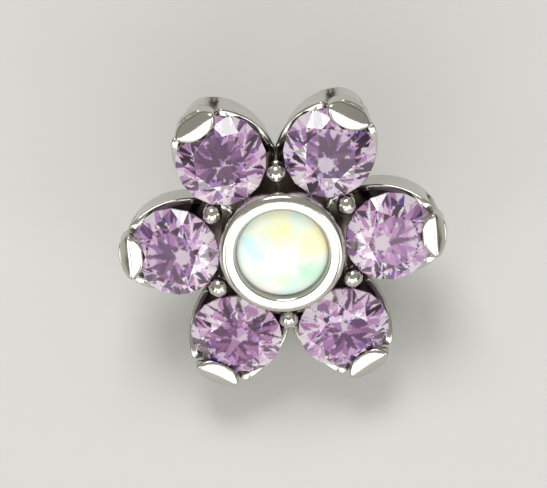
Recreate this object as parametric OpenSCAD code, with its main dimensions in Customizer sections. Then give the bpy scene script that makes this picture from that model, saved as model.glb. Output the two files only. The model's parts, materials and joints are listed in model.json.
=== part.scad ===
// Flower-shaped end for a skin anchor: six round brilliants as petals around a domed opal.
// It lies on a table as it would when dropped face up: on two petals and the end of its post.
// Millimetres, +Z up. The flower is built flat, with its underside on z = 0 and its post
// below that, and resting() then leans it over.

/* [Petal stones] */
// Diameter of a petal stone at its girdle
stone_d = 2.0; // [1.9:0.02:2.0]
// Width of the table as a share of the stone's diameter
table_share = 0.57; // [0.52:0.01:0.6]
// Height of the crown above the girdle
crown_h = 0.33; // [0.28:0.01:0.36]
// Depth of the pavilion below the girdle
pavilion_h = 0.86; // [0.8:0.01:0.88]
// Thickness of the girdle
girdle_t = 0.05; // [0.03:0.01:0.07]
// Distance of a stone's centre from the flower's axis
stone_ring_r = 2.34; // [2.34:0.01:2.38]
// Height of the stones' girdles above the underside
girdle_z = 1.46; // [1.42:0.01:1.5]
// Outward lean of each stone, in degrees
stone_lean = 13; // [10:1:14]

/* [Petals] */
// Distance of a petal's tip from the flower's axis, at the rim
petal_tip_r = 3.58; // [3.56:0.01:3.62]
// Half the width of a petal where it is widest
petal_half_w = 1.1; // [1.08:0.01:1.12]
// Radius of the two arcs that make a petal's sides
petal_side_r = 1.7; // [1.66:0.01:1.76]
// How much narrower every outline is at the underside than at the girdle
wall_taper = 0.18; // [0.14:0.01:0.2]
// Height of the rim in the valley between two petals
rim_valley_z = 0.99; // [0.96:0.01:1.02]
// Height of the rim at the foot of the prong
rim_tip_z = 1.4; // [1.38:0.01:1.42]
// Height of the floor between the stones
floor_z = 0.78; // [0.7:0.01:0.82]

/* [Prongs and beads] */
// Radius of the ball that rounds each outer prong
prong_r = 0.5; // [0.48:0.01:0.52]
// Distance of a prong's inner end from the flower's axis
prong_inner_r = 3.03; // [3.0:0.01:3.05]
// Half the width of a prong
prong_half_w = 0.46; // [0.44:0.01:0.48]
// Height of the prongs above the girdles
prong_top = 0.25; // [0.24:0.01:0.28]
// Radius of a shared inner bead
bead_r = 0.26; // [0.25:0.01:0.27]
// Distance of the inner beads from the flower's axis
bead_ring_r = 1.68; // [1.66:0.01:1.7]

/* [Centre] */
// Diameter of the opal
opal_d = 2.04; // [2.0:0.01:2.06]
// Height of the opal's dome above its edge
opal_dome_h = 0.28; // [0.24:0.01:0.3]
// Outer diameter of the bezel at its widest
bezel_d = 2.74; // [2.72:0.01:2.76]
// Height of the bezel's lip above the girdles
bezel_top = 0.71; // [0.68:0.01:0.74]

/* [Post] */
// Diameter of the post
post_d = 1.2; // [1.0:0.1:1.2]
// Length of the post below the flower
post_len = 2.35; // [2.2:0.05:2.6]
// Chamfer on the post's end
post_chamfer = 0.12; // [0.08:0.01:0.15]

/* [Hidden] */
$fn = 96;

metal_colour = [0.80, 0.80, 0.77];
post_colour = [0.66, 0.66, 0.64];
stone_colour = [0.70, 0.52, 0.76];
opal_colour = [0.94, 0.95, 0.88];

petals = 6;
petal_step = 360 / petals;
// Clearance between a stone or the post and the metal that holds it
seat_gap = 0.02;
// Overlap that makes sure two joined solids share volume
weld = 0.1;

// The stone's cut: eight mains, with a half step between a main and its neighbour's star
mains = 8;
main_step = 360 / mains;
girdle_r = stone_d / 2;
table_r = girdle_r * table_share;
table_z = girdle_t / 2 + crown_h;
// Stars reach half of the way from the table's edge to the girdle
star_r = (table_r * cos(main_step / 2) + girdle_r) / 2;
star_z = table_z - crown_h * (star_r * cos(main_step / 2) - table_r) / (girdle_r - table_r);
// Lower halves reach three quarters of the way from the girdle to the point
lower_r = 0.25 * girdle_r;
point_z = -girdle_t / 2 - pavilion_h;
lower_z = point_z + pavilion_h * lower_r * cos(main_step / 2) / girdle_r;

// The two side arcs of a petal are struck from beside its axis
side_centre_u = 2.1;
side_centre_v = petal_side_r - petal_half_w;
under_tip_r = petal_tip_r - wall_taper;
under_side_r = petal_side_r - wall_taper;
blank_h = girdle_z + prong_top + weld;
flare = wall_taper / girdle_z;
hub_r = 2.0;
rim_inner_r = 2.08;
// The rim slopes up from the valley to a knee beside the stone, and on to the foot of the prong
rim_slope_r = 0.06;
rim_knee_r = 2.9;
rim_knee_z = 1.2;
rim_tip_inner_r = 3.25;

prong_ball_r = 3.15;
prong_ball_z = girdle_z + prong_top - prong_r;

bead_z = girdle_z + 0.16;
bead_stem_r = 0.24;

opal_r = opal_d / 2;
opal_floor_z = girdle_z + 0.2;
opal_edge_z = girdle_z + 0.52;
opal_ball_r = (opal_r * opal_r + opal_dome_h * opal_dome_h) / (2 * opal_dome_h);
bezel_r = bezel_d / 2;
bezel_stem_r = bezel_r - 0.06;
lip_round_r = 0.135;
lip_inner_r = 1.13;
lip_edge_r = 0.97;
lip_edge_z = girdle_z + 0.575;
lip_steps = 8;
lip_sweep = 100;

post_r = post_d / 2;
// The post's narrow root, which is set in the flower, and its bare neck below the underside
root_r = post_r / 2;
root_h = 0.5;
neck_h = 0.05;
// Shallow relief round the post, so that the underside seats flat on the anchor
relief_r = post_r + 0.25;
relief_h = 0.05;

// The corner of a petal's underside that touches the table: where its side meets its tip
side_centre_r = norm([side_centre_u, side_centre_v]);
corner_a = acos((pow(under_tip_r, 2) + pow(side_centre_r, 2) - pow(under_side_r, 2))
    / (2 * under_tip_r * side_centre_r)) - atan2(side_centre_v, side_centre_u);
foot_reach = under_tip_r * cos(petal_step / 2 - corner_a);
rest_tilt = atan(post_len / (foot_reach - (post_r - post_chamfer)));
// Half-way between the farthest points to the back and to the front of the leaning flower
front_reach = petal_tip_r * cos(petal_step / 2 - corner_a) * cos(rest_tilt)
    + rim_tip_z * sin(rest_tilt);
rest_shift = (front_reach - foot_reach * cos(rest_tilt)) / 2;

function polar(r, a, z) = [r * cos(a), r * sin(a), z];
function arc(centre, r, from, sweep, steps) =
    [for (i = [0:steps]) let (a = from + sweep * i / steps) centre + r * [cos(a), sin(a)]];

module resting() {
    translate([0, rest_shift, foot_reach * sin(rest_tilt)])
        rotate([rest_tilt, 0, 0])
            children();
}

module at_petal(i) {
    rotate([0, 0, i * petal_step])
        children();
}

module at_stone(i) {
    at_petal(i)
        translate([stone_ring_r, 0, girdle_z])
            rotate([0, stone_lean, 0])
                children();
}

// Round brilliant, its girdle's middle on z = 0. Points run ring by ring from the table down.
module brilliant() {
    half = main_step / 2;
    table_pts = [for (k = [0:mains - 1]) polar(table_r, k * main_step, table_z)];
    star_pts = [for (k = [0:mains - 1]) polar(star_r, (k + 0.5) * main_step, star_z)];
    upper_pts = [for (j = [0:2 * mains - 1]) polar(girdle_r, j * half, girdle_t / 2)];
    under_pts = [for (j = [0:2 * mains - 1]) polar(girdle_r, j * half, -girdle_t / 2)];
    lower_pts = [for (k = [0:mains - 1]) polar(lower_r, (k + 0.5) * main_step, lower_z)];
    star0 = mains;
    upper0 = 2 * mains;
    under0 = 4 * mains;
    lower0 = 6 * mains;
    point = 7 * mains;
    polyhedron(
        points = concat(table_pts, star_pts, upper_pts, under_pts, lower_pts, [[0, 0, point_z]]),
        faces = concat(
            [[for (k = [mains - 1:-1:0]) k]],
            [for (k = [0:mains - 1]) let (n = (k + 1) % mains) [k, n, star0 + k]],
            [for (k = [0:mains - 1]) let (p = (k + mains - 1) % mains)
                [k, star0 + k, upper0 + 2 * k, star0 + p]],
            [for (k = [0:mains - 1]) [star0 + k, upper0 + 2 * k + 1, upper0 + 2 * k]],
            [for (k = [0:mains - 1]) let (n = (2 * k + 2) % (2 * mains))
                [star0 + k, upper0 + n, upper0 + 2 * k + 1]],
            [for (j = [0:2 * mains - 1]) let (n = (j + 1) % (2 * mains))
                [upper0 + j, upper0 + n, under0 + n, under0 + j]],
            [for (k = [0:mains - 1]) let (p = (k + mains - 1) % mains)
                [point, lower0 + p, under0 + 2 * k, lower0 + k]],
            [for (k = [0:mains - 1]) [lower0 + k, under0 + 2 * k, under0 + 2 * k + 1]],
            [for (k = [0:mains - 1]) let (n = (2 * k + 2) % (2 * mains))
                [lower0 + k, under0 + 2 * k + 1, under0 + n]]
        )
    );
}

// Hollow that a stone's seat leaves in the metal: the stone turned round, plus the clearance
module stone_seat() {
    g = seat_gap;
    rotate_extrude()
        polygon([
            [0, point_z - 2 * g], [lower_r, lower_z - 2 * g], [girdle_r + g, -girdle_t / 2 - g],
            [girdle_r + g, girdle_t / 2 + g], [star_r + g, star_z + g], [table_r, table_z + g],
            [0, table_z + g],
        ]);
}

// One petal's outline, narrowing towards the underside
module petal_blank() {
    intersection_for (side = [-1, 1])
        translate([side_centre_u, side * side_centre_v, 0])
            cylinder(h = blank_h, r1 = under_side_r, r2 = under_side_r + flare * blank_h);
}

// Everything under the sloping rim, turned round the flower's axis
module under_rim() {
    rotate_extrude()
        polygon([
            [0, 0], [under_tip_r, 0], [under_tip_r + flare * rim_tip_z, rim_tip_z],
            [rim_tip_inner_r, rim_tip_z], [rim_knee_r, rim_knee_z], [rim_inner_r, rim_valley_z],
            [rim_inner_r - rim_slope_r, floor_z], [0, floor_z],
        ]);
}

module prong_blank() {
    intersection() {
        translate([prong_ball_r, 0, prong_ball_z])
            sphere(r = prong_r);
        translate([prong_inner_r + prong_half_w, 0, rim_valley_z])
            cylinder(h = blank_h - rim_valley_z, r = prong_half_w);
        cylinder(h = blank_h, r = petal_tip_r);
    }
}

module inner_bead() {
    translate([bead_ring_r, 0, 0]) {
        translate([0, 0, floor_z - weld])
            cylinder(h = bead_z - floor_z + weld, r = bead_stem_r);
        translate([0, 0, bead_z])
            sphere(r = bead_r);
    }
}

// Cup for the opal: a straight stem, a rounded lip and a bevel that holds the dome's edge
module bezel() {
    lip_centre = [bezel_r - lip_round_r, girdle_z + bezel_top - lip_round_r];
    rotate_extrude()
        polygon(concat(
            [[0, floor_z - weld], [bezel_stem_r, floor_z - weld], [bezel_stem_r, opal_floor_z]],
            arc(lip_centre, lip_round_r, 0, lip_sweep, lip_steps),
            [
                [lip_inner_r, girdle_z + bezel_top - seat_gap], [lip_edge_r, lip_edge_z],
                [opal_r + seat_gap, opal_edge_z + seat_gap], [opal_r + seat_gap, opal_floor_z],
                [0, opal_floor_z],
            ]
        ));
}

module flower_setting() {
    color(metal_colour)
        resting()
            difference() {
                union() {
                    intersection() {
                        union() {
                            cylinder(h = floor_z, r = hub_r);
                            for (i = [0:petals - 1]) at_petal(i) petal_blank();
                        }
                        union() {
                            under_rim();
                            for (i = [0:petals - 1]) at_petal(i) prong_blank();
                        }
                    }
                    for (i = [0:petals - 1]) at_petal(i + 0.5) inner_bead();
                    bezel();
                }
                for (i = [0:petals - 1]) at_stone(i) stone_seat();
                translate([0, 0, -weld]) {
                    cylinder(h = root_h + seat_gap + weld, r = root_r + seat_gap);
                    cylinder(h = relief_h + weld, r = relief_r);
                }
            }
}

// The post is hidden in the skin anchor when worn, so it is a plain pin with a chamfered end
module mounting_post() {
    color(post_colour)
        resting()
            translate([0, 0, -post_len]) {
                cylinder(h = post_chamfer, r1 = post_r - post_chamfer, r2 = post_r);
                translate([0, 0, post_chamfer])
                    cylinder(h = post_len - post_chamfer - neck_h, r = post_r);
                translate([0, 0, post_chamfer])
                    cylinder(h = post_len - post_chamfer + root_h, r = root_r);
            }
}

module opal_cabochon() {
    color(opal_colour)
        resting()
            intersection() {
                translate([0, 0, opal_floor_z + seat_gap])
                    cylinder(h = girdle_z, r = opal_r);
                translate([0, 0, opal_edge_z + opal_dome_h - opal_ball_r])
                    sphere(r = opal_ball_r);
            }
}

module petal_stone(i) {
    color(stone_colour)
        resting()
            at_stone(i)
                brilliant();
}

flower_setting();
mounting_post();
opal_cabochon();
for (i = [0:petals - 1])
    petal_stone(i);
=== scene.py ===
"""Flower-shaped end for a skin anchor: polished cups, prongs and bezel round lavender brilliants."""

import json
import math

import bpy
import numpy as np
from bpy.props import FloatProperty, FloatVectorProperty, PointerProperty
from mathutils import Matrix, Vector


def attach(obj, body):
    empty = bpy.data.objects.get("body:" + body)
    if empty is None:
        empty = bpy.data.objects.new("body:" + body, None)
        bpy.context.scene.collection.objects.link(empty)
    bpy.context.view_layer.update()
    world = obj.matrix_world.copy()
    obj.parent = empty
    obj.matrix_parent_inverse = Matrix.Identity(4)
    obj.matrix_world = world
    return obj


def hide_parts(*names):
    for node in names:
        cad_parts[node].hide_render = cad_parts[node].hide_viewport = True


bl_info = {
    "name": "Flower Anchor Top",
    "version": (1, 0, 0),
    "blender": (4, 5, 0),
    "location": "View3D > Sidebar > Flower",
    "description": "Builds the metal, the stones' finish and the studio of a flower-shaped anchor top",
    "category": "Object",
}

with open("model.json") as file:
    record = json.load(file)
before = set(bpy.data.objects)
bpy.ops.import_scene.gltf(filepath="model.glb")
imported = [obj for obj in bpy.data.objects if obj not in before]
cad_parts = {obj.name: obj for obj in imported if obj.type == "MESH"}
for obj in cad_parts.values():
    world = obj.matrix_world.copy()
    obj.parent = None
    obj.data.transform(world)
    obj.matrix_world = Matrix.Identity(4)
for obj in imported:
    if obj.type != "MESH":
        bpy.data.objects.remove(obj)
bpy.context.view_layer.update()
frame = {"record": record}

BODY = "root"
SETTING_NODE = "flower_setting"
POST_NODE = "mounting_post"
OPAL_NODE = "opal_cabochon"
PETALS = 6
PETAL_STEP = 2 * math.pi / PETALS
# The stones' trace of light: the seed of its lamps, small triangles along a facet's edge, bounces
# that a ray is followed for, lamps, the share of what is then left inside that still comes out, and
# the index for each primary
FACET_SEED = 198
FACET_SPLIT = 16
FIRE_BOUNCES = 4
FIRE_LAMPS = 6
DEEP_LIGHT = 0.25
FIRE_INDEX = (2.14, 2.14, 2.18)
# Lowest height of a lamp, and how much higher it may stand, as parts of a ball's radius
LAMP_LOW, LAMP_RISE = 0.35, 0.6
# Size at which a triangle is traced, round its middle, so that every point lies inside its facet
FACET_INSET = 0.985
# The light that a stone's rays meet: the room's, how much less of it comes from above, a lamp's
# and its soft edge, and the depth and soft edge of the shadow round the way the trace looks
ROOM_LIGHT = 0.17
ROOM_LOSS = 0.08
LAMP_LIGHT = 4.5
LAMP_EDGE = (0.86, 0.95)
SHADOW = 0.85
SHADOW_EDGE = (0.72, 0.92)
# How strongly light becomes colour, and the least share of its red that a point's blue may be
FIRE_GAIN = 2.8
BLUE_SHARE = 0.9
# How far the table's pattern is drawn towards its mean tone, as a flat face veils what is below it
TABLE_CALM = 0.35
# Height of the opal's tinted patches, then their x, y and reach, in millimetres, and their colour
PATCH_HEIGHT = 2.2
OPAL_PATCHES = (
    (0.05, 0.62, 0.55, "opal_yellow"), (0.75, 0.25, 0.5, "opal_yellow"),
    (-0.62, 0.25, 0.38, "opal_aqua"), (0.62, -0.50, 0.5, "opal_mint"),
)
# Scales of the materials' noise, in cells for each metre
BROAD_CELLS, WIPE_CELLS, SHADE_PATCH_CELLS = 900.0, 4200.0, 2400.0
OPAL_CELLS, STONE_CELLS, FLOOR_CELLS = 1300.0, 1500.0, 180.0
# Half the side of the floor
FLOOR_HALF = 0.6
# The studio's lights: name, place and size in metres, power and tint
LIGHTS = (
    ("front_softbox", (-0.01, -0.25, 0.11), 0.18, 0.20, 0.36, (1.0, 0.99, 0.97)),
    ("right_strip", (0.157, -0.194, 0.11), 0.097, 0.22, 0.17, (1.0, 0.99, 0.97)),
    ("left_strip", (-0.170, -0.183, 0.11), 0.084, 0.22, 0.15, (1.0, 0.99, 0.97)),
    ("top_softbox", (-0.01, 0.087, 0.18), 0.09, 0.09, 0.15, (1.0, 0.99, 0.98)),
)
MM = 0.001
# Cups that overlap under the flower differ by this height, so that no two faces coincide
CUP_LIFT = 0.006 * MM
# Rings of a cup, from its underside up, on which shade is painted in the grooves, and how far
# out the rings under its stone reach, as shares of the inner wall's
OUTER_ROWS = 25
SEAT_SHARES = (0.9, 0.75, 0.55, 0.35, 0.15)
# Half the angle that a groove beside a prong's tab takes, and the shares of a wall's height at
# which it begins and is full
GROOVE_HALF = math.radians(6.0)
GROOVE_SPAN = (0.0, 0.15)
# Distances from the axis at which the rim's height changes: floor, valley, knee, tip and beyond
RIM_MARKS = np.array([1.90, 2.06, 2.90, 3.25, 4.0]) * MM
# Point inside a prong from which its surface is measured
PRONG_CORE = np.array([3.37, 0.0, 1.42]) * MM
# How sharply the limits of a petal's outline and of a prong meet, for each metre
PETAL_SHARPNESS = 14.0 / MM
PRONG_SHARPNESS = 26.0 / MM
# Height, inside the base plate, from which the bezel and the beads rise
STEM_FOOT = 0.6 * MM
# Points round a cup, the base plate, the bezel, the opal, a bead and the post
CUP_AROUND, BASE_AROUND, BEZEL_AROUND = 180, 120, 160
OPAL_AROUND, BEAD_AROUND, POST_AROUND = 128, 48, 96


def mount_of(name):
    """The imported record's mount of that name."""
    return next(m for m in frame["record"]["mounts"] if m["name"] == name)


# The flower's own frame: its underside is the plane z = 0 and its axis is z. The shoulder mount
# lies on the underside, and the way it faces is the way the post runs.
SHOULDER = mount_of("shoulder")
FLOWER_Z = -np.array(SHOULDER["axis"], float)
FLOWER_X = np.array([1.0, 0.0, 0.0])
FLOWER_Y = np.cross(FLOWER_Z, FLOWER_X)
FLOWER_ORIGIN = np.array([0.0, *SHOULDER["pos_m"][1:]])
POST_RADIUS = mount_of("post")["dims"]["r_mm"] * MM


def length(name, description, default):
    return FloatProperty(
        name=name, description=description, default=default, min=0.0, unit="LENGTH", precision=5
    )


def colour(name, description, default):
    return FloatVectorProperty(
        name=name, description=description, default=default, size=3, min=0.0, max=1.0, subtype="COLOR"
    )


def amount(name, description, default, high=1.0):
    return FloatProperty(name=name, description=description, default=default, min=0.0, max=high)


def angle(name, description, degrees):
    return FloatProperty(
        name=name, description=description, default=math.radians(degrees), subtype="ANGLE", unit="ROTATION"
    )


class FlowerSizes(bpy.types.PropertyGroup):
    """Sizes of the flower, measured from its underside and its axis"""

    stone_radius: length("Stone radius", "Radius of a petal stone at its girdle", 1.0 * MM)
    stone_ring: length("Stone ring", "Distance of a stone's centre from the axis", 2.34 * MM)
    stone_table: length("Stone table", "Radius of a stone's table", 0.57 * MM)
    crown: length("Crown", "Height of a stone's crown", 0.33 * MM)
    pavilion: length("Pavilion", "Depth of a stone's pavilion", 0.86 * MM)
    girdle: length("Girdle", "Thickness of a stone's girdle", 0.05 * MM)
    girdle_height: length("Girdle height", "Height of the girdles' centres", 1.46 * MM)
    stone_lean: angle("Stone lean", "How far each stone leans outwards", 13.0)
    tip_radius: length("Petal tip", "Distance of a petal's tip from the axis", 3.58 * MM)
    side_radius: length("Petal side", "Radius of the arcs that make a petal's sides", 1.70 * MM)
    side_along: length("Side centre", "Distance of the side arcs' centres along the petal", 2.10 * MM)
    half_width: length("Half width", "Half the width of a petal", 1.10 * MM)
    taper: length("Taper", "How much narrower the underside is than the girdle's level", 0.18 * MM)
    wall: length("Wall", "Thickness of a cup's wall at its rim", 0.17 * MM)
    rim_round: length("Rim rounding", "Radius of a rim's rounded edges", 0.045 * MM)
    rim_flare: length("Rim flare", "How far a wall flares out just below its rim", 0.02 * MM)
    valley_height: length("Valley height", "Height of the rim in a valley", 0.99 * MM)
    knee_height: length("Knee height", "Height of the rim beside a stone", 1.20 * MM)
    tip_height: length("Tip height", "Height of the rim at the tip", 1.40 * MM)
    floor_height: length("Floor height", "Height of the floor between the stones", 0.78 * MM)
    hub_radius: length("Hub radius", "Radius of the round base plate", 2.00 * MM)
    tab_half: angle("Tab half angle", "Half the angle of the tab that folds into a prong", 23.5)
    tab_rise: length("Tab rise", "How far the tab rises above the rim beside it", 0.06 * MM)
    notch: length("Notch depth", "Depth of the grooves on both sides of the tab", 0.15 * MM)
    notch_drop: length("Notch drop", "How far the rim drops in the grooves", 0.16 * MM)
    prong_fold: length("Prong fold", "Distance of a prong's fold from the axis", 3.32 * MM)
    prong_dip: angle("Prong dip", "How far the inner face of a prong leans inwards", 6.0)
    prong_slope: angle("Prong slope", "How far the outer face of a prong leans outwards", 38.0)
    prong_half: length("Prong half width", "Half the width of a prong", 0.56 * MM)
    prong_inner: length("Prong inner end", "Distance of a prong's inner end from the axis", 2.98 * MM)
    prong_set: length("Prong set-back", "How far a prong stands in from the wall's face", 0.045 * MM)
    prong_top: length("Prong top", "Height of the prongs", 1.71 * MM)
    bead_radius: length("Bead radius", "Radius of an inner bead", 0.22 * MM)
    bead_ring: length("Bead ring", "Distance of the inner beads from the axis", 1.68 * MM)
    bezel_radius: length("Bezel radius", "Outer radius of the bezel", 1.37 * MM)
    bezel_top: length("Bezel top", "Height of the bezel's lip", 2.17 * MM)
    lip_round: length("Lip rounding", "Width of the bezel lip's level crest", 0.03 * MM)
    lip_inner: length("Lip inner edge", "Radius at which the lip's inner bevel starts", 1.035 * MM)
    lip_edge: length("Lip edge", "Radius of the opening over the opal", 0.98 * MM)
    opal_radius: length("Opal radius", "Radius of the opal", 1.02 * MM)
    opal_dome: length("Opal dome", "Height of the opal's dome", 0.28 * MM)
    opal_edge: length("Opal edge", "Height of the dome's edge", 1.98 * MM)
    post_radius: length("Post radius", "Radius of the post", POST_RADIUS)
    post_length: length("Post length", "Length of the post below the flower", 2.35 * MM)
    post_chamfer: length("Post chamfer", "Chamfer on the post's end", 0.12 * MM)
    post_neck: length("Post neck", "Bare neck between the post and the flower", 0.05 * MM)


class FlowerFinish(bpy.types.PropertyGroup):
    """Colours and polish of the flower's materials"""

    metal: colour("Metal", "Polished metal", (0.60, 0.59, 0.545))
    # Colour of the painted shade deep in the metal: in the cups' grooves, under the stones, on the base
    # plate's floor and in the bezel's inner bevel
    metal_shade: colour("Metal shade", "Deep parts of the metal", (0.16, 0.13, 0.10))
    metal_roughness: amount("Metal roughness", "Roughness of the polished metal", 0.16)
    turned: colour("Turned metal", "Metal of the post", (0.60, 0.60, 0.58))
    opal: colour("Opal", "Body colour of the opal", (0.91, 0.91, 0.86))
    opal_yellow: colour("Opal yellow", "Warm patches of the opal", (0.95, 0.88, 0.50))
    opal_aqua: colour("Opal aqua", "Cool patches of the opal", (0.52, 0.88, 0.86))
    opal_mint: colour("Opal mint", "Green patches of the opal", (0.55, 0.90, 0.66))
    stone: colour("Stone", "Body colour of the stones", (0.80, 0.58, 0.84))
    stone_absorb: FloatVectorProperty(
        name="Stone absorption", description="How strongly the stone swallows each primary",
        default=(0.56, 1.45, 0.60), size=3, min=0.0,
    )
    # Colours of the painted flashes of fire in the stones
    stone_pink: colour("Stone pink", "Warm fire in the stones", (0.93, 0.72, 0.90))
    stone_violet: colour("Stone violet", "Cool fire in the stones", (0.56, 0.42, 0.86))
    stone_ior: FloatProperty(
        name="Stone index", description="Refractive index of the stones", default=2.1, min=1.3, max=2.6
    )


class FlowerStudio(bpy.types.PropertyGroup):
    """Floor, lights and camera"""

    floor: colour("Floor", "Colour of the floor", (0.70, 0.70, 0.69))
    camera_azimuth: angle("Camera azimuth", "Turn of the camera round the flower", 6.0)
    camera_elevation: angle("Camera elevation", "Height of the camera above the floor", 67.6)
    camera_roll: angle("Camera roll", "Roll of the camera about its line of sight", 9.7)
    camera_distance: length("Camera distance", "Distance of the camera", 109.0 * MM)
    view_width: length("View width", "Width of the view at the flower", 11.84 * MM)
    aim_across: FloatProperty(
        name="Aim across", description="Aim past the flower's centre, across the view", default=-0.197 * MM,
        unit="LENGTH", precision=6,
    )
    aim_up: FloatProperty(
        name="Aim up", description="Aim past the flower's centre, up the view", default=-0.006 * MM,
        unit="LENGTH", precision=6,
    )


def at_rest(points):
    """Points of the flower's own frame, in the frame in which it rests: origin + x X + y Y + z Z."""
    return FLOWER_ORIGIN + points @ np.stack([FLOWER_X, FLOWER_Y, FLOWER_Z])


def round_axis(points, turn):
    """Points turned about the flower's axis by an angle."""
    c, s = math.cos(turn), math.sin(turn)
    return points @ np.array([[c, s, 0.0], [-s, c, 0.0], [0.0, 0.0, 1.0]])


def skin_mesh(name, rings, shade=None):
    """Closed surface through rings[m, n, 3]: quads between the rings, and a fan from the middle of
    the first and of the last ring, which closes both poles. It is turned outwards by the sign of
    its volume, the sum of a . (b x c) over its triangles. shade[m, n] goes into the attribute depth,
    which the metal's material paints as shade."""
    m, n = rings.shape[:2]
    index = np.arange(m * n).reshape(m, n)
    after = np.roll(index, -1, axis=1)
    quads = np.stack([index[:-1], after[:-1], after[1:], index[1:]], axis=-1).reshape(-1, 4)
    first, last = m * n, m * n + 1
    fans = np.concatenate(
        [
            np.stack([after[0], index[0], np.full(n, first)], axis=-1),
            np.stack([index[-1], after[-1], np.full(n, last)], axis=-1),
        ]
    )
    points = np.concatenate([rings.reshape(-1, 3), [rings[0].mean(0), rings[-1].mean(0)]])
    corners = np.concatenate([quads[:, [0, 1, 2]], quads[:, [0, 2, 3]], fans])
    a, b, c = (points[corners[:, k]] for k in range(3))
    if np.einsum("ij,ij->", a - points[0], np.cross(b - points[0], c - points[0])) < 0:
        quads, fans = quads[:, ::-1], fans[:, ::-1]
    mesh = bpy.data.meshes.new(name)
    mesh.from_pydata(at_rest(points), [], quads.tolist() + fans.tolist())
    mesh.polygons.foreach_set("use_smooth", np.ones(len(mesh.polygons), bool))
    shade = np.zeros((m, n)) if shade is None else shade
    depth = np.append(shade.ravel(), [shade[0].mean(), shade[-1].mean()])
    mesh.attributes.new("depth", "FLOAT", "POINT").data.foreach_set("value", depth.astype(np.float32))
    mesh.update()
    return mesh


def softened(profile, spacing, reach):
    """A profile (r, z) walked in even steps, with its corners rounded: every point becomes the mean
    of the points within reach of it along the profile, weighted by a raised cosine."""
    steps = np.hypot(*np.diff(profile, axis=0).T)
    along = np.concatenate([[0.0], np.cumsum(steps)])
    even = np.linspace(0.0, along[-1], int(along[-1] / spacing) + 2)
    r, z = np.interp(even, along, profile[:, 0]), np.interp(even, along, profile[:, 1])
    half = max(1, int(reach / spacing))
    weight = 1 + np.cos(np.linspace(-math.pi, math.pi, 2 * half + 3)[1:-1])
    weight /= weight.sum()
    padded = [np.concatenate([2 * v[0] - v[half:0:-1], v, 2 * v[-1] - v[-2:-half - 2:-1]]) for v in (r, z)]
    smooth = np.stack([np.convolve(v, weight, "valid") for v in padded], axis=-1)
    return np.maximum(smooth, [1e-7, -1.0])


def turned(profile, around, centre=(0.0, 0.0)):
    """Rings of a turned shape: (cx + r cos t, cy + r sin t, z) for every profile point and angle t."""
    t = np.linspace(0.0, 2 * math.pi, around, endpoint=False)
    r, z = profile[:, :1], profile[:, 1:]
    return np.stack([centre[0] + r * np.cos(t), centre[1] + r * np.sin(t), z + 0 * t], axis=-1)


def soft_least(distances, sharpness):
    """Smooth least of several distances: -log(sum of exp(-k d)) / k, which rounds where they meet."""
    stack = np.stack(np.broadcast_arrays(*distances))
    least = stack.min(0)
    return least - np.log(np.exp(-sharpness * (stack - least)).sum(0)) / sharpness


def reach_in_circle(start, way, centre, radius):
    """How far a ray goes before it leaves a circle or ball: -b + sqrt(b^2 - c), where b is the way
    times (start - centre), and c is |start - centre|^2 - radius^2."""
    offset = start - centre
    b = (way * offset).sum(-1)
    return -b + np.sqrt(np.maximum(b * b - (offset * offset).sum(-1) + radius * radius, 0.0))


def smooth_step(low, high, x):
    """3 t^2 - 2 t^3, where t runs from 0 at low to 1 at high."""
    t = np.clip((x - low) / (high - low), 0.0, 1.0)
    return t * t * (3 - 2 * t)


def side_centres(s):
    """Centres of the two arcs that make a petal's sides."""
    off = s.side_radius - s.half_width
    return np.array([[s.side_along, off], [s.side_along, -off]])


def petal_outline(s, phi, height):
    """Distance from the stone's centre to a petal's wall, in direction phi, at a height: the smooth
    least of the ways to the two side arcs and to the tip's arc, all wider with the height."""
    start = np.array([s.stone_ring, 0.0])
    way = np.stack([np.cos(phi), np.sin(phi)], axis=-1)
    grow = s.taper * (height / s.girdle_height - 1.0)
    arcs = [(c, s.side_radius) for c in side_centres(s)] + [(np.zeros(2), s.tip_radius)]
    return soft_least([reach_in_circle(start, way, c, r + grow) for c, r in arcs], PETAL_SHARPNESS)


def rim_height(s, reach):
    """Height of the rim at a distance from the flower's axis: up from the floor to the valley, to
    the knee beside the stone, and to the tip, with rounded changes."""
    heights = np.array([s.floor_height, s.valley_height, s.knee_height, s.tip_height, s.tip_height])
    near = np.linspace(-0.08, 0.08, 9) * MM
    return np.mean([np.interp(reach + d, RIM_MARKS, heights) for d in near], axis=0)


def seat_height(s, out, phi):
    """Height under a stone's pavilion, at a distance out from its centre: the girdle's height less
    its lean, its half thickness and what is left of the pavilion's depth."""
    lean = out * np.cos(phi) * math.tan(s.stone_lean)
    return s.girdle_height - lean - s.girdle / 2 - s.pavilion * (1 - out / s.stone_radius)


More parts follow.
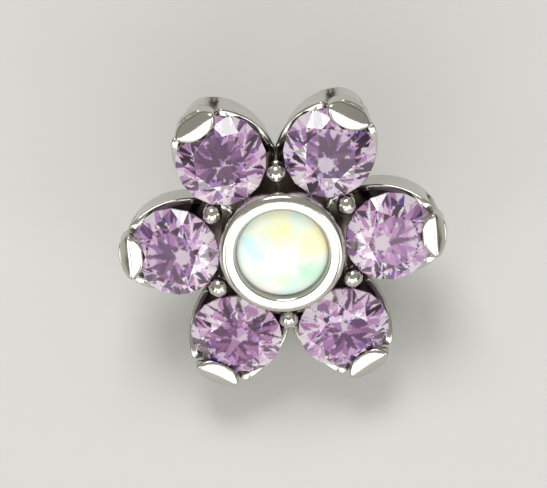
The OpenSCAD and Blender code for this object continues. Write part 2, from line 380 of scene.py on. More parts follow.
def cup_rings(s):
    """One petal's cup, round its stone's centre: up the wall, over the rounded rim, down the
    inner wall and in under the stone. Each ring is the outline less an inset, at a height. The
    wall flares out towards its rim by flare t^8. Two grooves, exp(-(angle / half)^2) deep, cut the
    wall and lower its rim on both sides of the tab, which rises between them. The second array is the
    painted shade, 1 where the metal lies deep, in the grooves and under the stone."""
    phi = np.linspace(0.0, 2 * math.pi, CUP_AROUND, endpoint=False)
    rr, w, bow = s.rim_round, s.wall, -s.rim_flare
    foot, first_guess, inner_drop, seat_gap = 1.5 * rr, 0.97 * MM, 0.16 * MM, 0.14 * MM
    rim = rim_height(s, np.hypot(s.stone_ring + first_guess * np.cos(phi), first_guess * np.sin(phi)))
    edge = petal_outline(s, phi, rim)
    rim = rim_height(s, np.hypot(s.stone_ring + edge * np.cos(phi), edge * np.sin(phi)))
    turn = np.where(phi > math.pi, phi - 2 * math.pi, phi)
    cleft = np.exp(-(((np.abs(turn) - s.tab_half) / GROOVE_HALF) ** 2))
    tab = smooth_step(s.tab_half, 0.6 * s.tab_half, np.abs(turn))
    rim = rim + s.tab_rise * tab - s.notch_drop * cleft
    quarter = np.linspace(0.0, math.pi / 2, 5)
    rows = [(0.5 * MM, 0.0 * rim), (0.12 * MM, 0.0 * rim)]
    rows += [(foot * (1 - math.sin(a)), foot * (1 - math.cos(a)) + 0 * rim) for a in quarter]
    rows += [(bow * t**8, foot + t * (rim - foot - rr)) for t in np.linspace(0.0, 1.0, 20)[1:]]
    rows += [(bow + rr * (1 - math.cos(a)), rim - rr * (1 - math.sin(a))) for a in quarter[1:]]
    rows += [(bow + w - rr * (1 - math.sin(a)), rim - rr * (1 - math.cos(a))) for a in quarter]
    rows += [(bow + w + 0.01 * MM * t, rim - rr - t * inner_drop) for t in np.linspace(0.2, 1.0, 5)]
    outs, heights = [], []
    grooves = np.zeros((len(rows) + len(SEAT_SHARES), len(phi)))
    for number, (inset, z) in enumerate(rows):
        groove = cleft * smooth_step(*GROOVE_SPAN, z / rim)
        outs.append(petal_outline(s, phi, z) - s.notch * groove - inset)
        heights.append(z)
        if number < OUTER_ROWS:
            grooves[number] = groove
    inner, top = outs[-1], heights[-1]
    for share in SEAT_SHARES:
        out = inner * share
        outs.append(out)
        heights.append(np.minimum(top, seat_height(s, out, phi) - seat_gap))
    out, z = np.stack(outs), np.stack(heights)
    rings = np.stack([s.stone_ring + out * np.cos(phi), out * np.sin(phi), z], axis=-1)
    inside = smooth_step(len(rows) - 5, len(rows) + 1, np.arange(len(outs)))
    deep = np.maximum(inside[:, None], grooves)
    return rings, deep


def prong_rings(s):
    """One folded prong, as a ball of rays from a point inside it. Each ray ends at the smooth least
    of its ways to the fold's two planes, the petal's sides and tip, the prong's round inner end and
    a plane just above the stone's crown."""
    start = PRONG_CORE
    polar = np.linspace(0.0, math.pi, 42)[1:-1, None]
    t = np.linspace(0.0, 2 * math.pi, 72, endpoint=False)[None]
    way = np.stack([np.sin(polar) * np.cos(t), np.sin(polar) * np.sin(t), np.cos(polar) + 0 * t], axis=-1)
    flat = np.hypot(way[..., 0], way[..., 1]) + 1e-9
    level = way[..., :2] / flat[..., None]
    fold = np.array([s.prong_fold, 0.0, s.prong_top + 0.01 * MM])
    faces = []
    for lean in (-s.prong_dip, s.prong_slope):
        up = np.array([math.sin(lean), 0.0, math.cos(lean)])
        faces.append((fold - start) @ up / np.maximum(way @ up, 1e-3))
    # From the petal's sides the prong stands in half as far as from its tip
    half, sides = s.prong_half, s.side_radius - 0.5 * s.prong_set
    rounds = [(c, sides) for c in side_centres(s)]
    rounds += [(np.array([s.prong_inner + half, 0.0]), half), (np.zeros(2), s.tip_radius - s.prong_set)]
    slope = math.atan2(s.crown, s.stone_radius - s.stone_table) + s.stone_lean
    crown_up = np.array([math.sin(slope), 0.0, math.cos(slope)])
    lean = s.stone_lean
    edge = np.array([s.stone_ring, 0.0, s.girdle_height])
    edge += s.stone_radius * np.array([math.cos(lean), 0.0, -math.sin(lean)])
    edge += s.girdle / 2 * np.array([math.sin(lean), 0.0, math.cos(lean)])
    above = (start - edge) @ crown_up - 0.02 * MM
    down = np.maximum(-(way @ crown_up), 1e-3)
    walls = [reach_in_circle(start[:2], level, c, r) / flat for c, r in rounds]
    out = soft_least([*faces, *walls, above / down], PRONG_SHARPNESS)
    return start + out[..., None] * way


def bezel_profile(s):
    """Half section of the bezel: stem, rounded lip, inner bevel and the ledge under the opal. The
    lip's outside is a superellipse, (run cos^p a, rise sin^p a) from its level crest."""
    quarter = np.linspace(0.0, math.pi / 2, 18)
    power, crest_r, low = 0.55, s.lip_inner + s.lip_round, s.bezel_top - 0.30 * MM
    rise, run = s.bezel_top - low, s.bezel_radius - crest_r
    stem = [(s.bezel_radius - 0.07 * MM, STEM_FOOT), (s.bezel_radius - 0.02 * MM, 1.3 * MM)]
    rows = [(0.0, STEM_FOOT), *stem]
    rows += [
        (crest_r + run * math.cos(a) ** power, low + rise * math.sin(a) ** power) for a in quarter[:-1]
    ]
    rows += [(crest_r, s.bezel_top)]
    ledge, opening = 1.66 * MM, s.opal_radius + 0.02 * MM
    rows += [(s.lip_inner, s.bezel_top - 0.025 * MM), (s.lip_edge, 2.035 * MM)]
    rows += [(opening, 1.99 * MM), (opening, ledge), (0.0, ledge)]
    return softened(np.array(rows), 0.012 * MM, 0.022 * MM)


def bead_profile(s):
    """Half section of an inner bead: a ball on a straight stem."""
    centre = s.girdle_height + 0.14 * MM
    arc = np.linspace(math.radians(-65), math.radians(90), 28)
    stem = s.bead_radius * math.cos(arc[0]) + 0.1 * MM
    rows = [(0.0, STEM_FOOT), (stem, STEM_FOOT), (stem, 0.8 * MM), (stem - 0.01 * MM, 1.3 * MM)]
    rows += [(s.bead_radius * math.cos(a), centre + s.bead_radius * math.sin(a)) for a in arc]
    return softened(np.array(rows), 0.012 * MM, 0.02 * MM)


def base_profile(s):
    """Half section of the base plate: flat underside, rounded edge and level floor."""
    low, high = s.hub_radius - s.taper, s.hub_radius - s.taper / 2
    rows = [(0.0, 0.0), (low, 0.0), (high, s.floor_height), (0.0, s.floor_height)]
    return softened(np.array(rows), 0.02 * MM, 0.05 * MM)


def opal_profile(s):
    """Half section of the opal: a straight side and a dome, which is an arc of a large circle."""
    ball = (s.opal_radius**2 + s.opal_dome**2) / (2 * s.opal_dome)
    half = math.asin(s.opal_radius / ball)
    arc = np.linspace(half, 0.0, 40)
    low, back = s.opal_edge + s.opal_dome - ball, 1.68 * MM
    rows = [(0.0, back), (s.opal_radius, back)]
    rows += [(ball * math.sin(a), low + ball * math.cos(a)) for a in arc]
    return softened(np.array(rows), 0.015 * MM, 0.03 * MM)


def post_profile(s):
    """Half section of the post: chamfered end, straight wall, neck and the root in the flower."""
    r, root = s.post_radius, s.post_radius - s.post_chamfer
    low, neck, top = -s.post_length, -s.post_neck, 0.45 * MM
    rows = [(0.0, low), (root, low), (r, low + s.post_chamfer), (r, neck)]
    rows += [(root, neck), (root, top), (0.0, top)]
    return softened(np.array(rows), 0.015 * MM, 0.02 * MM)


def brilliant_facets(s):
    """Points and facets of a round brilliant in its own frame, rings from the table down: a ring of
    radius r at height z has its points at equal angles. Quads and triangles join ring to ring."""
    mains = 8
    half = math.pi / mains
    share = math.cos(half)
    star = (s.stone_table * share + s.stone_radius) / 2
    star_z = s.girdle / 2 + s.crown * (1 - (star * share - s.stone_table) / (s.stone_radius - s.stone_table))
    low, point_z = s.stone_radius / 4, -s.girdle / 2 - s.pavilion
    low_z = point_z + s.pavilion * low * share / s.stone_radius

    def ring(count, radius, z, offset=0.0):
        t = (np.arange(count) + offset) * 2 * math.pi / count
        return np.stack([radius * np.cos(t), radius * np.sin(t), np.full(count, z)], axis=-1)

    points = np.concatenate(
        [
            ring(mains, s.stone_table, s.girdle / 2 + s.crown),
            ring(mains, star, star_z, 0.5),
            ring(2 * mains, s.stone_radius, s.girdle / 2),
            ring(2 * mains, s.stone_radius, -s.girdle / 2),
            ring(mains, low, low_z, 0.5),
            [[0.0, 0.0, point_z]],
        ]
    )
    k, j = np.arange(mains), np.arange(2 * mains)
    nxt, prv, around = (k + 1) % mains, (k - 1) % mains, (j + 1) % (2 * mains)
    stars, upper, under, lower, tip = mains, 2 * mains, 4 * mains, 6 * mains, np.full(mains, 7 * mains)
    even, odd, then = 2 * k, 2 * k + 1, (2 * k + 2) % (2 * mains)
    groups = [
        [k, stars + k, nxt],
        [k, stars + prv, upper + even, stars + k],
        [stars + k, upper + even, upper + odd],
        [stars + k, upper + odd, upper + then],
        [upper + j, under + j, under + around, upper + around],
        [tip, lower + k, under + even, lower + prv],
        [lower + k, under + odd, under + even],
        [lower + k, under + then, under + odd],
    ]
    facets = [k.tolist()]
    for group in groups:
        facets += np.stack(group, axis=-1).tolist()
    return points, facets


def split_facets(points, facets):
    """Every facet cut into a fan of triangles, the table's from its middle, and each triangle into
    FACET_SPLIT^2 small ones, by the points a + i/n (b - a) + j/n (c - a). Returns the grids'
    points, one row a triangle, the small triangles' indices within a grid, and the facet that
    each triangle comes from."""
    table = facets[0]
    fans = [[len(points), a, b] for a, b in zip(table, table[1:] + table[:1])]
    owner = [0] * len(fans)
    points = np.concatenate([points, points[table].mean(0, keepdims=True)])
    for number, facet in enumerate(facets[1:], 1):
        for k in range(1, len(facet) - 1):
            fans.append([facet[0], facet[k], facet[k + 1]])
            owner.append(number)
    a, b, c = (points[np.array(fans)[:, k]][:, None] for k in range(3))
    n = FACET_SPLIT
    i, j = np.meshgrid(np.arange(n + 1), np.arange(n + 1), indexing="ij")
    inside = i + j <= n
    index = np.full((n + 1, n + 1), -1)
    index[inside] = np.arange(inside.sum())
    i, j = i[inside][:, None] / n, j[inside][:, None] / n
    grids = a + i * (b - a) + j * (c - a)
    up = np.stack([index[:-1, :-1], index[1:, :-1], index[:-1, 1:]], axis=-1).reshape(-1, 3)
    down = np.stack([index[1:, :-1], index[1:, 1:], index[:-1, 1:]], axis=-1).reshape(-1, 3)
    small = np.concatenate([up, down])
    return grids, small[(small >= 0).all(1)], np.array(owner)


def facet_planes(points, facets):
    """Outward normal and distance from the origin of every facet's plane."""
    first, second, third = (points[[f[k] for f in facets]] for k in (0, 1, 2))
    normal = np.cross(second - first, third - first)
    normal /= np.linalg.norm(normal, axis=1, keepdims=True)
    return normal, (normal * first).sum(1)


def bend(way, normal, ratio):
    """Snell's law: the bent ray, and the share of the light that is reflected instead (Fresnel's
    mean of the two polarisations, and all of it past the critical angle)."""
    cos_in = -(way * normal).sum(-1, keepdims=True)
    under = 1 - ratio**2 * (1 - cos_in**2)
    cos_out = np.sqrt(np.maximum(under, 0.0))
    bent = ratio * way + (ratio * cos_in - cos_out) * normal
    across = (ratio * cos_in - cos_out) / (ratio * cos_in + cos_out + 1e-9)
    along = (cos_in - ratio * cos_out) / (cos_in + ratio * cos_out + 1e-9)
    share = np.where(under > 0, (across**2 + along**2) / 2, 1.0)
    return bent, share


def lamp_light(way, lamps, glance):
    """Brightness of the room in a direction: a dim ceiling, the brighter seat below, round soft
    lamps, and a shadow round the glance, which is the way the trace looks."""
    lit = ROOM_LIGHT - ROOM_LOSS * smooth_step(-0.3, 0.2, way[..., 2])
    for lamp in lamps:
        lit = lit + LAMP_LIGHT * smooth_step(*LAMP_EDGE, way @ lamp)
    return lit * (1 - SHADOW * smooth_step(*SHADOW_EDGE, way @ glance))


def stone_fire(points, normal, planes, index, radius, lamps, glance):
    """Light that comes back out of the crown. A ray goes in at each point, bounces between the
    facets' planes, and leaves light behind wherever it gets out: the room's brightness in that
    direction, times what the bounces have left of it and what the tinted stone lets through. What
    is still inside after the last bounce is taken to come out dimly."""
    normals, reach = planes
    way, share = bend(-glance, normal, 1 / index)
    here, left = points / radius, 1 - share
    seen, travelled = np.zeros((len(points), 1)), np.zeros((len(points), 1))
    for _ in range(FIRE_BOUNCES):
        facing = way @ normals.T
        ahead = reach / radius - here @ normals.T
        ahead = np.where(facing > 1e-6, np.maximum(ahead, 1e-4) / np.maximum(facing, 1e-6), 1e9)
        hit = ahead.argmin(1)
        step = np.take_along_axis(ahead, hit[:, None], 1)
        here, travelled = here + step * way, travelled + step
        wall = normals[hit]
        out, share = bend(way, -wall, index)
        seen += left * (1 - share) * lamp_light(out, lamps, glance)[:, None]
        left = left * share
        way = way - 2 * (way * wall).sum(1, keepdims=True) * wall
    return seen + DEEP_LIGHT * left, travelled / FIRE_BOUNCES


def fire_colours(s, finish, grids, owner, planes, draw, glance):
    """Colour of every point of the split facets: three traces, one for each primary, with a
    slightly higher index for blue, so that edges between light and dark throw coloured flashes.
    Glance is the flower's own axis. The table's pattern is calmer than the crown's round it."""
    count = grids.shape[1]
    normal = np.repeat(planes[0][owner], count, axis=0)
    centre = grids.mean(1, keepdims=True)
    points = (centre + FACET_INSET * (grids - centre)).reshape(-1, 3)
    height = LAMP_LOW + LAMP_RISE * draw.random(FIRE_LAMPS)
    turn = 2 * math.pi * (np.arange(FIRE_LAMPS) + draw.random(FIRE_LAMPS)) / FIRE_LAMPS
    flat = np.sqrt(1 - height**2)
    lamps = np.stack([flat * np.cos(turn), flat * np.sin(turn), height], axis=-1)
    seen = []
    for index, swallow in zip(FIRE_INDEX, finish.stone_absorb):
        light, path = stone_fire(points, normal, planes, index, s.stone_radius, lamps, glance)
        seen.append(light * np.exp(-swallow * path))
    rgb = 1 - np.exp(-FIRE_GAIN * np.concatenate(seen, axis=1))
    rgb[:, 2] = np.maximum(rgb[:, 2], BLUE_SHARE * rgb[:, 0])
    table = np.repeat(owner == 0, count)
    rgb[table] += TABLE_CALM * (rgb[table].mean(0) - rgb[table])
    below = points[:, 2:] < -s.girdle
    return np.where(below, np.array(finish.stone), rgb).reshape(*grids.shape[:2], 3)


def stone_axes(s):
    """Axes of a stone that leans outwards, as rows, in the frame of its petal."""
    c, n = math.cos(s.stone_lean), math.sin(s.stone_lean)
    return np.array([[c, 0.0, -n], [0.0, 1.0, 0.0], [n, 0.0, c]])


def set_stone(s, points, turn):
    """A stone's own points, leaned outwards, moved out to its ring and turned to its petal."""
    return round_axis(points @ stone_axes(s) + [s.stone_ring, 0.0, s.girdle_height], turn)


def flower_axis_in_stone(s):
    """The flower's own axis, in a stone's own frame: its share along each of the stone's axes. It
    is the same for every stone, and has nothing to do with where the camera stands."""
    return stone_axes(s) @ np.array([0.0, 0.0, 1.0])


class Nodes:
    """Short ways to add and join the nodes of one material or node group."""

    def __init__(self, tree):
        self.tree = tree

    def add(self, kind, **values):
        node = self.tree.nodes.new(kind)
        for key, value in values.items():
            setattr(node, key, value)
        return node

    def link(self, source, target):
        self.tree.links.new(source, target)

    def noise(self, where, scale, detail=3.0, rough=0.55):
        node = self.add("ShaderNodeTexNoise")
        for key, value in (("Vector", where), ("Scale", scale), ("Detail", detail), ("Roughness", rough)):
            self.feed(node.inputs[key], value)
        return node.outputs["Fac"]

    def place(self, operation, where, point):
        """A place moved by a point, or its distance from it or share along it."""
        node = self.add("ShaderNodeVectorMath", operation=operation)
        self.link(where, node.inputs[0])
        node.inputs[1].default_value = point
        return node.outputs

    def number(self, operation, *inputs):
        node = self.add("ShaderNodeMath", operation=operation)
        for socket, value in zip(node.inputs, inputs):
            self.feed(socket, value)
        return node.outputs[0]

    def span(self, value, low, high, to_low=0.0, to_high=1.0):
        node = self.add("ShaderNodeMapRange", interpolation_type="SMOOTHSTEP")
        self.feed(node.inputs["Value"], value)
        for key, number in (("From Min", low), ("From Max", high), ("To Min", to_low), ("To Max", to_high)):
            node.inputs[key].default_value = number
        return node.outputs["Result"]

    def blend(self, share, one, other, mode="MIX"):
        node = self.add("ShaderNodeMix", data_type="RGBA", blend_type=mode)
        self.feed(node.inputs[0], share)
        self.feed(node.inputs[6], one)
        self.feed(node.inputs[7], other)
        return node.outputs[2]

    def feed(self, socket, value):
        if isinstance(value, bpy.types.NodeSocket):
            self.link(value, socket)
        elif isinstance(value, (int, float)):
            socket.default_value = value
        else:
            socket.default_value = (*value, 1.0)[:4]


def new_material(name):
    """An empty material with a Principled shader; gives the material, its nodes and the shader."""
    material = bpy.data.materials.new(name)
    material.use_nodes = True
    nodes = Nodes(material.node_tree)
    shader = next(n for n in material.node_tree.nodes if n.type == "BSDF_PRINCIPLED")
    return material, nodes, shader


def set_sockets(shader, **values):
    """Constant values put on a shader's own sockets, named with _ for a space."""
    for key, value in values.items():
        shader.inputs[key.replace("_", " ")].default_value = value


def bump(nodes, shader, height, strength, distance):
    """A height that varies over the surface, joined to the shader's normal."""
    node = nodes.add("ShaderNodeBump")
    set_sockets(node, Strength=strength, Distance=distance)
    nodes.link(height, node.inputs["Height"])
    nodes.link(node.outputs["Normal"], shader.inputs["Normal"])


def new_group(name, inputs, outputs):
    """An empty shader node group with those sockets; gives its nodes, its input and its output."""
    group = bpy.data.node_groups.new(name, "ShaderNodeTree")
    for way, rows in (("INPUT", inputs), ("OUTPUT", outputs)):
        for label, socket_type, *default in rows:
            socket = group.interface.new_socket(label, in_out=way, socket_type=socket_type)
            if default:
                socket.default_value = default[0]
    nodes = Nodes(group)
    return nodes, nodes.add("NodeGroupInput").outputs, nodes.add("NodeGroupOutput").inputs


def placed(nodes, group, **values):
    """A node group placed in a material, its sockets set or joined by name, with _ for a space."""
    node = nodes.add("ShaderNodeGroup", node_tree=bpy.data.node_groups[group])
    for key, value in values.items():
        nodes.feed(node.inputs[key.replace("_", " ")], value)
    return node.outputs


def polish_group():
    """Wear of a polished surface: broad soft unevenness, and fine crossing wipe marks."""
    nodes, given, out = new_group(
        "polish_marks",
        [
            ("Where", "NodeSocketVector"), ("Base Roughness", "NodeSocketFloat", 0.1),
            ("Marks", "NodeSocketFloat", 0.1),
        ],
        [("Roughness", "NodeSocketFloat"), ("Height", "NodeSocketFloat"), ("Mask", "NodeSocketFloat")],
    )
    where = given["Where"]
    broad = nodes.noise(where, BROAD_CELLS)
    stretch = nodes.add("ShaderNodeMapping")
    nodes.link(where, stretch.inputs["Vector"])
    stretch.inputs["Rotation"].default_value = (0.4, 0.7, 0.5)
    stretch.inputs["Scale"].default_value = (1.0, 9.0, 1.6)
    fine = nodes.noise(stretch.outputs["Vector"], WIPE_CELLS, 4.0, 0.6)
    marks = nodes.span(fine, 0.42, 0.72)
    wander = nodes.number("MULTIPLY", nodes.number("SUBTRACT", broad, 0.5), given["Marks"])
    scuffs = nodes.number("MULTIPLY", nodes.number("MULTIPLY", marks, given["Marks"]), 0.5)
    uneven = nodes.number("ADD", wander, scuffs)
    nodes.link(nodes.number("ADD", given["Base Roughness"], uneven), out["Roughness"])
    nodes.link(nodes.number("ADD", broad, nodes.number("MULTIPLY", marks, 0.12)), out["Height"])
    nodes.link(broad, out["Mask"])


def fire_group():
    """Play of colour: cells of three tints over a body colour, each cell with its own strength."""
    nodes, given, out = new_group(
        "colour_play",
        [
            ("Where", "NodeSocketVector"), ("Scale", "NodeSocketFloat", 1000.0), ("Body", "NodeSocketColor"),
            ("First", "NodeSocketColor"), ("Second", "NodeSocketColor"), ("Third", "NodeSocketColor"),
            ("Strength", "NodeSocketFloat", 0.5),
        ],
        [("Colour", "NodeSocketColor"), ("Mask", "NodeSocketFloat")],
    )
    colour_now = given["Body"]
    mask = None
    for offset, tint in ((0.0, "First"), (1.7, "Second"), (3.9, "Third")):
        shift = nodes.place("ADD", given["Where"], (offset * MM, -2 * offset * MM, offset * MM))
        patch = nodes.span(nodes.noise(shift[0], given["Scale"], 1.5, 0.5), 0.5, 0.68)
        colour_now = nodes.blend(nodes.number("MULTIPLY", patch, given["Strength"]), colour_now, given[tint])
        mask = patch if mask is None else nodes.number("MAXIMUM", mask, patch)
    nodes.link(colour_now, out["Colour"])
    nodes.link(mask, out["Mask"])


def dimmed(tint, share):
    """A colour of which only a share is left."""
    return tuple(share * c for c in tint)


def object_place(nodes):
    return nodes.add("ShaderNodeTexCoord").outputs["Object"]


def polished_metal(finish):
    """Mirror-polished cast metal with faint wipe marks: duller deep in the cups, where a warm dark shade is
    painted on.
    """
    material, nodes, shader = new_material("mirror_metal")
    where = object_place(nodes)
    marks = placed(nodes, "polish_marks", Where=where, Base_Roughness=finish.metal_roughness, Marks=0.06)
    deep = nodes.add("ShaderNodeAttribute", attribute_name="depth").outputs["Fac"]
    tone = nodes.blend(nodes.span(marks["Mask"], 0.3, 0.7), dimmed(finish.metal, 0.93), finish.metal)
    # Painted shade: where the depth attribute marks the metal as deep, its colour is blended towards the
    # shade colour, in patches of noise
    patchy = nodes.span(nodes.noise(where, SHADE_PATCH_CELLS, 2.0), 0.25, 0.6, 0.75, 1.0)
    painted_shade = nodes.number("MULTIPLY", deep, patchy)
    nodes.link(nodes.blend(painted_shade, tone, finish.metal_shade), shader.inputs["Base Color"])
    duller = nodes.number("ADD", marks["Roughness"], nodes.number("MULTIPLY", deep, 0.2))
    nodes.link(duller, shader.inputs["Roughness"])
    set_sockets(shader, Metallic=1.0)
    bump(nodes, shader, marks["Height"], 0.12, 0.03 * MM)
    return material


def turned_metal(finish):
    """Turned metal: fine rings across the post's axis, in its height and in its colour, over the polish's own
    roughness.
    """
    material, nodes, shader = new_material("turned_metal")
    where = object_place(nodes)
    marks = placed(nodes, "polish_marks", Where=where, Base_Roughness=0.26, Marks=0.12)
    along, pitch = nodes.place("DOT_PRODUCT", where, FLOWER_Z)["Value"], 0.03 * MM
    rings = nodes.number("SINE", nodes.number("MULTIPLY", along, 2 * math.pi / pitch))
    uneven = nodes.number("MULTIPLY", rings, nodes.span(marks["Mask"], 0.3, 0.7, 0.3, 1.0))
    shade = nodes.span(uneven, -1.0, 1.0)
    nodes.link(nodes.blend(shade, dimmed(finish.turned, 0.86), finish.turned), shader.inputs["Base Color"])
    nodes.link(marks["Roughness"], shader.inputs["Roughness"])
    set_sockets(shader, Metallic=1.0)
    bump(nodes, shader, uneven, 0.25, 0.004 * MM)
    return material


def opal_material(finish):
    """White opal: a milky body with soft patches of yellow, aqua and mint under a clear polish."""
    material, nodes, shader = new_material("milky_opal")
    where = object_place(nodes)
    play = placed(
        nodes, "colour_play", Where=where, Scale=OPAL_CELLS, Body=finish.opal, First=finish.opal_yellow,
        Second=finish.opal_aqua, Third=finish.opal_mint, Strength=0.4,
    )
    tone = play["Colour"]
    drift = nodes.number("MULTIPLY", nodes.number("SUBTRACT", play["Mask"], 0.5), 0.25 * MM)
    for x, y, size, tint in OPAL_PATCHES:
        away = nodes.place("DISTANCE", where, at_rest(np.array([x, y, PATCH_HEIGHT]) * MM))
        reach = nodes.number("ADD", away["Value"], drift)
        near = nodes.span(reach, 0.25 * size * MM, size * MM, 0.85, 0.0)
        tone = nodes.blend(near, tone, getattr(finish, tint))
    nodes.link(tone, shader.inputs["Base Color"])
    marks = placed(nodes, "polish_marks", Where=where, Base_Roughness=0.3, Marks=0.1)
    nodes.link(marks["Roughness"], shader.inputs["Roughness"])
    set_sockets(shader, Subsurface_Weight=0.25, Subsurface_Radius=(1.0, 1.0, 0.9), Subsurface_Scale=0.25 * MM)
    set_sockets(shader, Coat_Weight=1.0, Coat_Roughness=0.2, IOR=1.45)
    return material


def stone_material(finish):
    """Lavender stone: a little clear and of a high index, with its traced light as its colour."""
    material, nodes, shader = new_material("cut_lavender")
    where = object_place(nodes)
    # Painted fire: noise cells of pink and violet flashes, multiplied faintly into the traced light
    play = placed(
        nodes, "colour_play", Where=where, Scale=STONE_CELLS, Body=finish.stone, First=finish.stone_pink,
        Second=finish.stone_violet, Third=finish.stone_pink, Strength=0.8,
    )
    # Painted light: the colour attribute is the light traced through the facets
    fire = nodes.add("ShaderNodeAttribute", attribute_name="fire").outputs["Color"]
    nodes.link(nodes.blend(0.2, fire, play["Colour"], "MULTIPLY"), shader.inputs["Base Color"])
    set_sockets(shader, Roughness=0.0, IOR=finish.stone_ior, Transmission_Weight=0.25)
    return material


def floor_material(studio):
    """Plain pale floor with the faintest unevenness."""
    material, nodes, shader = new_material("pale_floor")
    mottle = nodes.noise(object_place(nodes), FLOOR_CELLS, 2.0)
    nodes.link(nodes.blend(mottle, dimmed(studio.floor, 0.98), studio.floor), shader.inputs["Base Color"])
    set_sockets(shader, Roughness=0.55, Specular_IOR_Level=0.3)
    return material


def material_named(name):
    found = bpy.data.materials.get(name)
    if found is None:
        raise RuntimeError(f"the material {name} is missing: run Mix Finishes first")
    return found


def add_piece(name, mesh, material, node):
    """Links a piece, lets it ride on the body, and hides the CAD node that it stands for."""
    piece = bpy.data.objects.new(name, mesh)
    bpy.context.scene.collection.objects.link(piece)
    mesh.materials.append(material_named(material))
    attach(piece, BODY)
    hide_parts(node)


def add_metal(name, rings, shade=None):
    """A closed piece of the polished setting."""
    add_piece(name, skin_mesh(name, rings, shade), "mirror_metal", SETTING_NODE)


class FLOWER_OT_finishes(bpy.types.Operator):
    """Mix the materials and the effects that they share"""

    bl_idname = "flower.finishes"
    bl_label = "Mix Finishes"

    def execute(self, context):
        finish = context.scene.flower_finish
        polish_group()
        fire_group()
        for make in (polished_metal, turned_metal, opal_material, stone_material):
            make(finish)
        return {"FINISHED"}


class FLOWER_OT_cups(bpy.types.Operator):
    """Build the six petal cups with their sloping rims"""

    bl_idname = "flower.cups"
    bl_label = "Petal Cups"

    def execute(self, context):
        rings, deep = cup_rings(context.scene.flower_sizes)
        for i in range(PETALS):
            lifted = rings + [0.0, 0.0, CUP_LIFT * (1 + i % 2)]
            add_metal(f"petal_cup_{i + 1}", round_axis(lifted, i * PETAL_STEP), deep)
        return {"FINISHED"}


class FLOWER_OT_prongs(bpy.types.Operator):
    """Build the six prongs that fold over the stones' outer edges"""

    bl_idname = "flower.prongs"
    bl_label = "Prongs"

    def execute(self, context):
        rings = prong_rings(context.scene.flower_sizes)
        for i in range(PETALS):
            add_metal(f"prong_{i + 1}", round_axis(rings, i * PETAL_STEP))
        return {"FINISHED"}


class FLOWER_OT_beads(bpy.types.Operator):
    """Build the six beads between the stones' inner edges"""

    bl_idname = "flower.beads"
    bl_label = "Inner Beads"

    def execute(self, context):
        s = context.scene.flower_sizes
        rings = turned(bead_profile(s), BEAD_AROUND, (s.bead_ring, 0.0))
        for i in range(PETALS):
            add_metal(f"inner_bead_{i + 1}", round_axis(rings, (i + 0.5) * PETAL_STEP))
        return {"FINISHED"}


class FLOWER_OT_centre(bpy.types.Operator):
    """Build the base plate, the bezel and the opal in it"""

    bl_idname = "flower.centre"
    bl_label = "Base, Bezel and Opal"

    def execute(self, context):
        s = context.scene.flower_sizes
        base = base_profile(s)
        # Painted shade on the base plate: full on its floor between and under the stones, none on its
        # underside
        deep = smooth_step(0.5 * s.floor_height, s.floor_height, base[:, 1:]) * np.ones(BASE_AROUND)
        add_metal("base_plate", turned(base, BASE_AROUND), deep)
        bezel = bezel_profile(s)
        # Painted shade in the bezel's inner bevel, round the opal
        bevel = 0.7 * smooth_step(s.lip_inner + 0.01 * MM, s.lip_inner - 0.03 * MM, bezel[:, :1])
        add_metal("centre_bezel", turned(bezel, BEZEL_AROUND), bevel * np.ones(BEZEL_AROUND))
        mesh = skin_mesh("opal_dome", turned(opal_profile(s), OPAL_AROUND))
        add_piece(mesh.name, mesh, "milky_opal", OPAL_NODE)
        return {"FINISHED"}


class FLOWER_OT_post(bpy.types.Operator):
    """Build the turned post"""

    bl_idname = "flower.post"
    bl_label = "Post"

    def execute(self, context):
        profile = post_profile(context.scene.flower_sizes)
        mesh = skin_mesh("post_pin", turned(profile, POST_AROUND))
        add_piece(mesh.name, mesh, "turned_metal", POST_NODE)
        return {"FINISHED"}


class FLOWER_OT_stones(bpy.types.Operator):
    """Cut the six stones, flat facet by flat facet"""

    bl_idname = "flower.stones"
    bl_label = "Petal Stones"

    def execute(self, context):
        s, finish = context.scene.flower_sizes, context.scene.flower_finish
        points, facets = brilliant_facets(s)
        planes = facet_planes(points, facets)
        grids, small, owner = split_facets(points, facets)
        flat = grids.reshape(-1, 3)
        starts = np.arange(len(grids))[:, None, None] * grids.shape[1]
        corners = (small[None] + starts).reshape(-1, 3)
        spots = np.round(flat / (1e-4 * MM))
        _, first, merged = np.unique(spots, axis=0, return_index=True, return_inverse=True)
        faces = merged.ravel()[corners].tolist()
        draw = np.random.default_rng(FACET_SEED)
        glance = flower_axis_in_stone(s)
        for i in range(PETALS):
            # Painted light: each stone's colour attribute holds the light traced through its facets, with
            # lamps, room light, a shadow and coloured flashes
            fire = fire_colours(s, finish, grids, owner, planes, draw, glance).reshape(-1, 3)
            mesh = bpy.data.meshes.new(f"brilliant_{i + 1}")
            mesh.from_pydata(at_rest(set_stone(s, flat[first], i * PETAL_STEP)), [], faces)
            colours = mesh.color_attributes.new("fire", "FLOAT_COLOR", "CORNER")
            rgba = np.concatenate([fire[corners.ravel()], np.ones((corners.size, 1))], axis=1)
            colours.data.foreach_set("color", rgba.astype(np.float32).ravel())
            add_piece(mesh.name, mesh, "cut_lavender", f"petal_stone_{i + 1}")
        return {"FINISHED"}


def camera_axes(studio):
    """The camera's axes: right, up and view, of which the first two are turned by the roll."""
    az, el, roll = studio.camera_azimuth, studio.camera_elevation, studio.camera_roll
    right = np.array([math.cos(az), math.sin(az), 0.0])
    view = np.array([math.sin(az) * math.cos(el), -math.cos(az) * math.cos(el), math.sin(el)])
    up = np.cross(view, right)
    across = math.cos(roll) * right - math.sin(roll) * up
    upwards = math.sin(roll) * right + math.cos(roll) * up
    return across, upwards, view


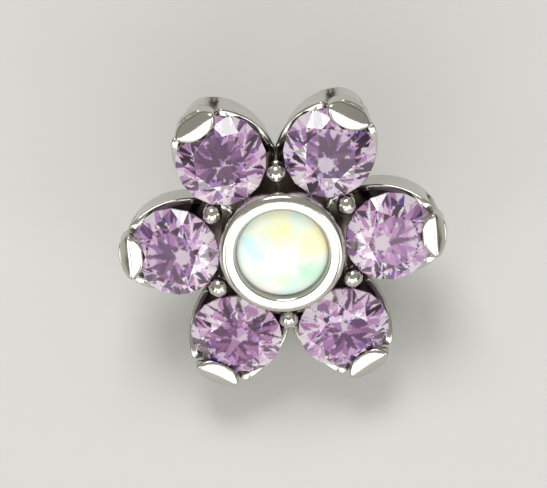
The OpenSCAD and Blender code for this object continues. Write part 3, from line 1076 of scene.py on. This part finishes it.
def add_light(name, where, aim, width, height, power, tint):
    """A soft rectangular light at a place, turned to what it lights."""
    data = bpy.data.lights.new(name, "AREA")
    data.shape, data.size, data.size_y = "RECTANGLE", width, height
    data.energy, data.color = power, tint
    light = bpy.data.objects.new(name, data)
    light.location = where
    light.rotation_euler = (Vector(aim) - Vector(where)).to_track_quat("-Z", "Y").to_euler()
    bpy.context.scene.collection.objects.link(light)


def studio_world():
    """Soft surroundings: a dim ceiling over darker walls, so that polished metal has contrast. The
    camera itself sees a plain pale backdrop."""
    world = bpy.data.worlds.new("studio")
    world.use_nodes = True
    nodes = Nodes(world.node_tree)
    background = next(n for n in world.node_tree.nodes if n.type == "BACKGROUND")
    height = nodes.add("ShaderNodeSeparateXYZ")
    nodes.link(nodes.add("ShaderNodeTexCoord").outputs["Generated"], height.inputs[0])
    room = nodes.blend(nodes.span(height.outputs["Z"], 0.10, 0.55), (0.14, 0.135, 0.11), (0.42, 0.41, 0.375))
    seen = nodes.add("ShaderNodeLightPath").outputs["Is Camera Ray"]
    nodes.link(nodes.blend(seen, room, (0.60, 0.60, 0.59)), background.inputs["Color"])
    background.inputs["Strength"].default_value = 1.0
    bpy.context.scene.world = world


class FLOWER_OT_studio(bpy.types.Operator):
    """Lay the floor, set the lights and aim the camera as in the photograph"""

    bl_idname = "flower.studio"
    bl_label = "Studio"

    def execute(self, context):
        studio, s = context.scene.flower_studio, context.scene.flower_sizes
        corners = FLOOR_HALF * np.array([[-1, -1, 0], [1, -1, 0], [1, 1, 0], [-1, 1, 0]])
        mesh = bpy.data.meshes.new("floor")
        mesh.from_pydata(corners, [], [(0, 1, 2, 3)])
        floor = bpy.data.objects.new("floor", mesh)
        context.scene.collection.objects.link(floor)
        mesh.materials.append(floor_material(studio))
        centre = at_rest(np.array([0.0, 0.0, s.girdle_height]))
        studio_world()
        for name, where, width, height, power, tint in LIGHTS:
            add_light(name, where, centre, width, height, power, tint)
        across, upwards, view = camera_axes(studio)
        aim = centre + studio.aim_across * across + studio.aim_up * upwards
        data = bpy.data.cameras.new("camera")
        data.sensor_width = 36.0
        data.lens = data.sensor_width * studio.camera_distance / studio.view_width
        data.clip_start, data.clip_end = 0.001, 10.0
        camera = bpy.data.objects.new("camera", data)
        turn = Matrix(np.stack([across, upwards, view], axis=1).tolist()).to_4x4()
        camera.matrix_world = Matrix.Translation(aim + studio.camera_distance * view) @ turn
        context.scene.collection.objects.link(camera)
        context.scene.camera = camera
        context.scene.view_settings.view_transform = "Standard"
        return {"FINISHED"}


class FLOWER_PT_panel(bpy.types.Panel):
    """Lists the steps that build the flower, in order"""

    bl_label = "Flower Anchor Top"
    bl_idname = "FLOWER_PT_panel"
    bl_space_type = "VIEW_3D"
    bl_region_type = "UI"
    bl_category = "Flower"

    def draw(self, context):
        for step in STEPS:
            self.layout.operator(step.bl_idname)
        for group in (context.scene.flower_sizes, context.scene.flower_finish, context.scene.flower_studio):
            column = self.layout.column()
            for key in group.__annotations__:
                column.prop(group, key)


STEPS = (
    FLOWER_OT_finishes, FLOWER_OT_cups, FLOWER_OT_prongs, FLOWER_OT_beads,
    FLOWER_OT_centre, FLOWER_OT_post, FLOWER_OT_stones, FLOWER_OT_studio,
)
CLASSES = (FlowerSizes, FlowerFinish, FlowerStudio, *STEPS, FLOWER_PT_panel)


def register():
    for cls in CLASSES:
        bpy.utils.register_class(cls)
    bpy.types.Scene.flower_sizes = PointerProperty(type=FlowerSizes)
    bpy.types.Scene.flower_finish = PointerProperty(type=FlowerFinish)
    bpy.types.Scene.flower_studio = PointerProperty(type=FlowerStudio)


def unregister():
    for name in ("flower_sizes", "flower_finish", "flower_studio"):
        delattr(bpy.types.Scene, name)
    for cls in reversed(CLASSES):
        bpy.utils.unregister_class(cls)


def main():
    """Build everything."""
    register()
    for step in STEPS:
        group, name = step.bl_idname.split(".")
        getattr(getattr(bpy.ops, group), name)()


if __name__ == "__main__":
    main()
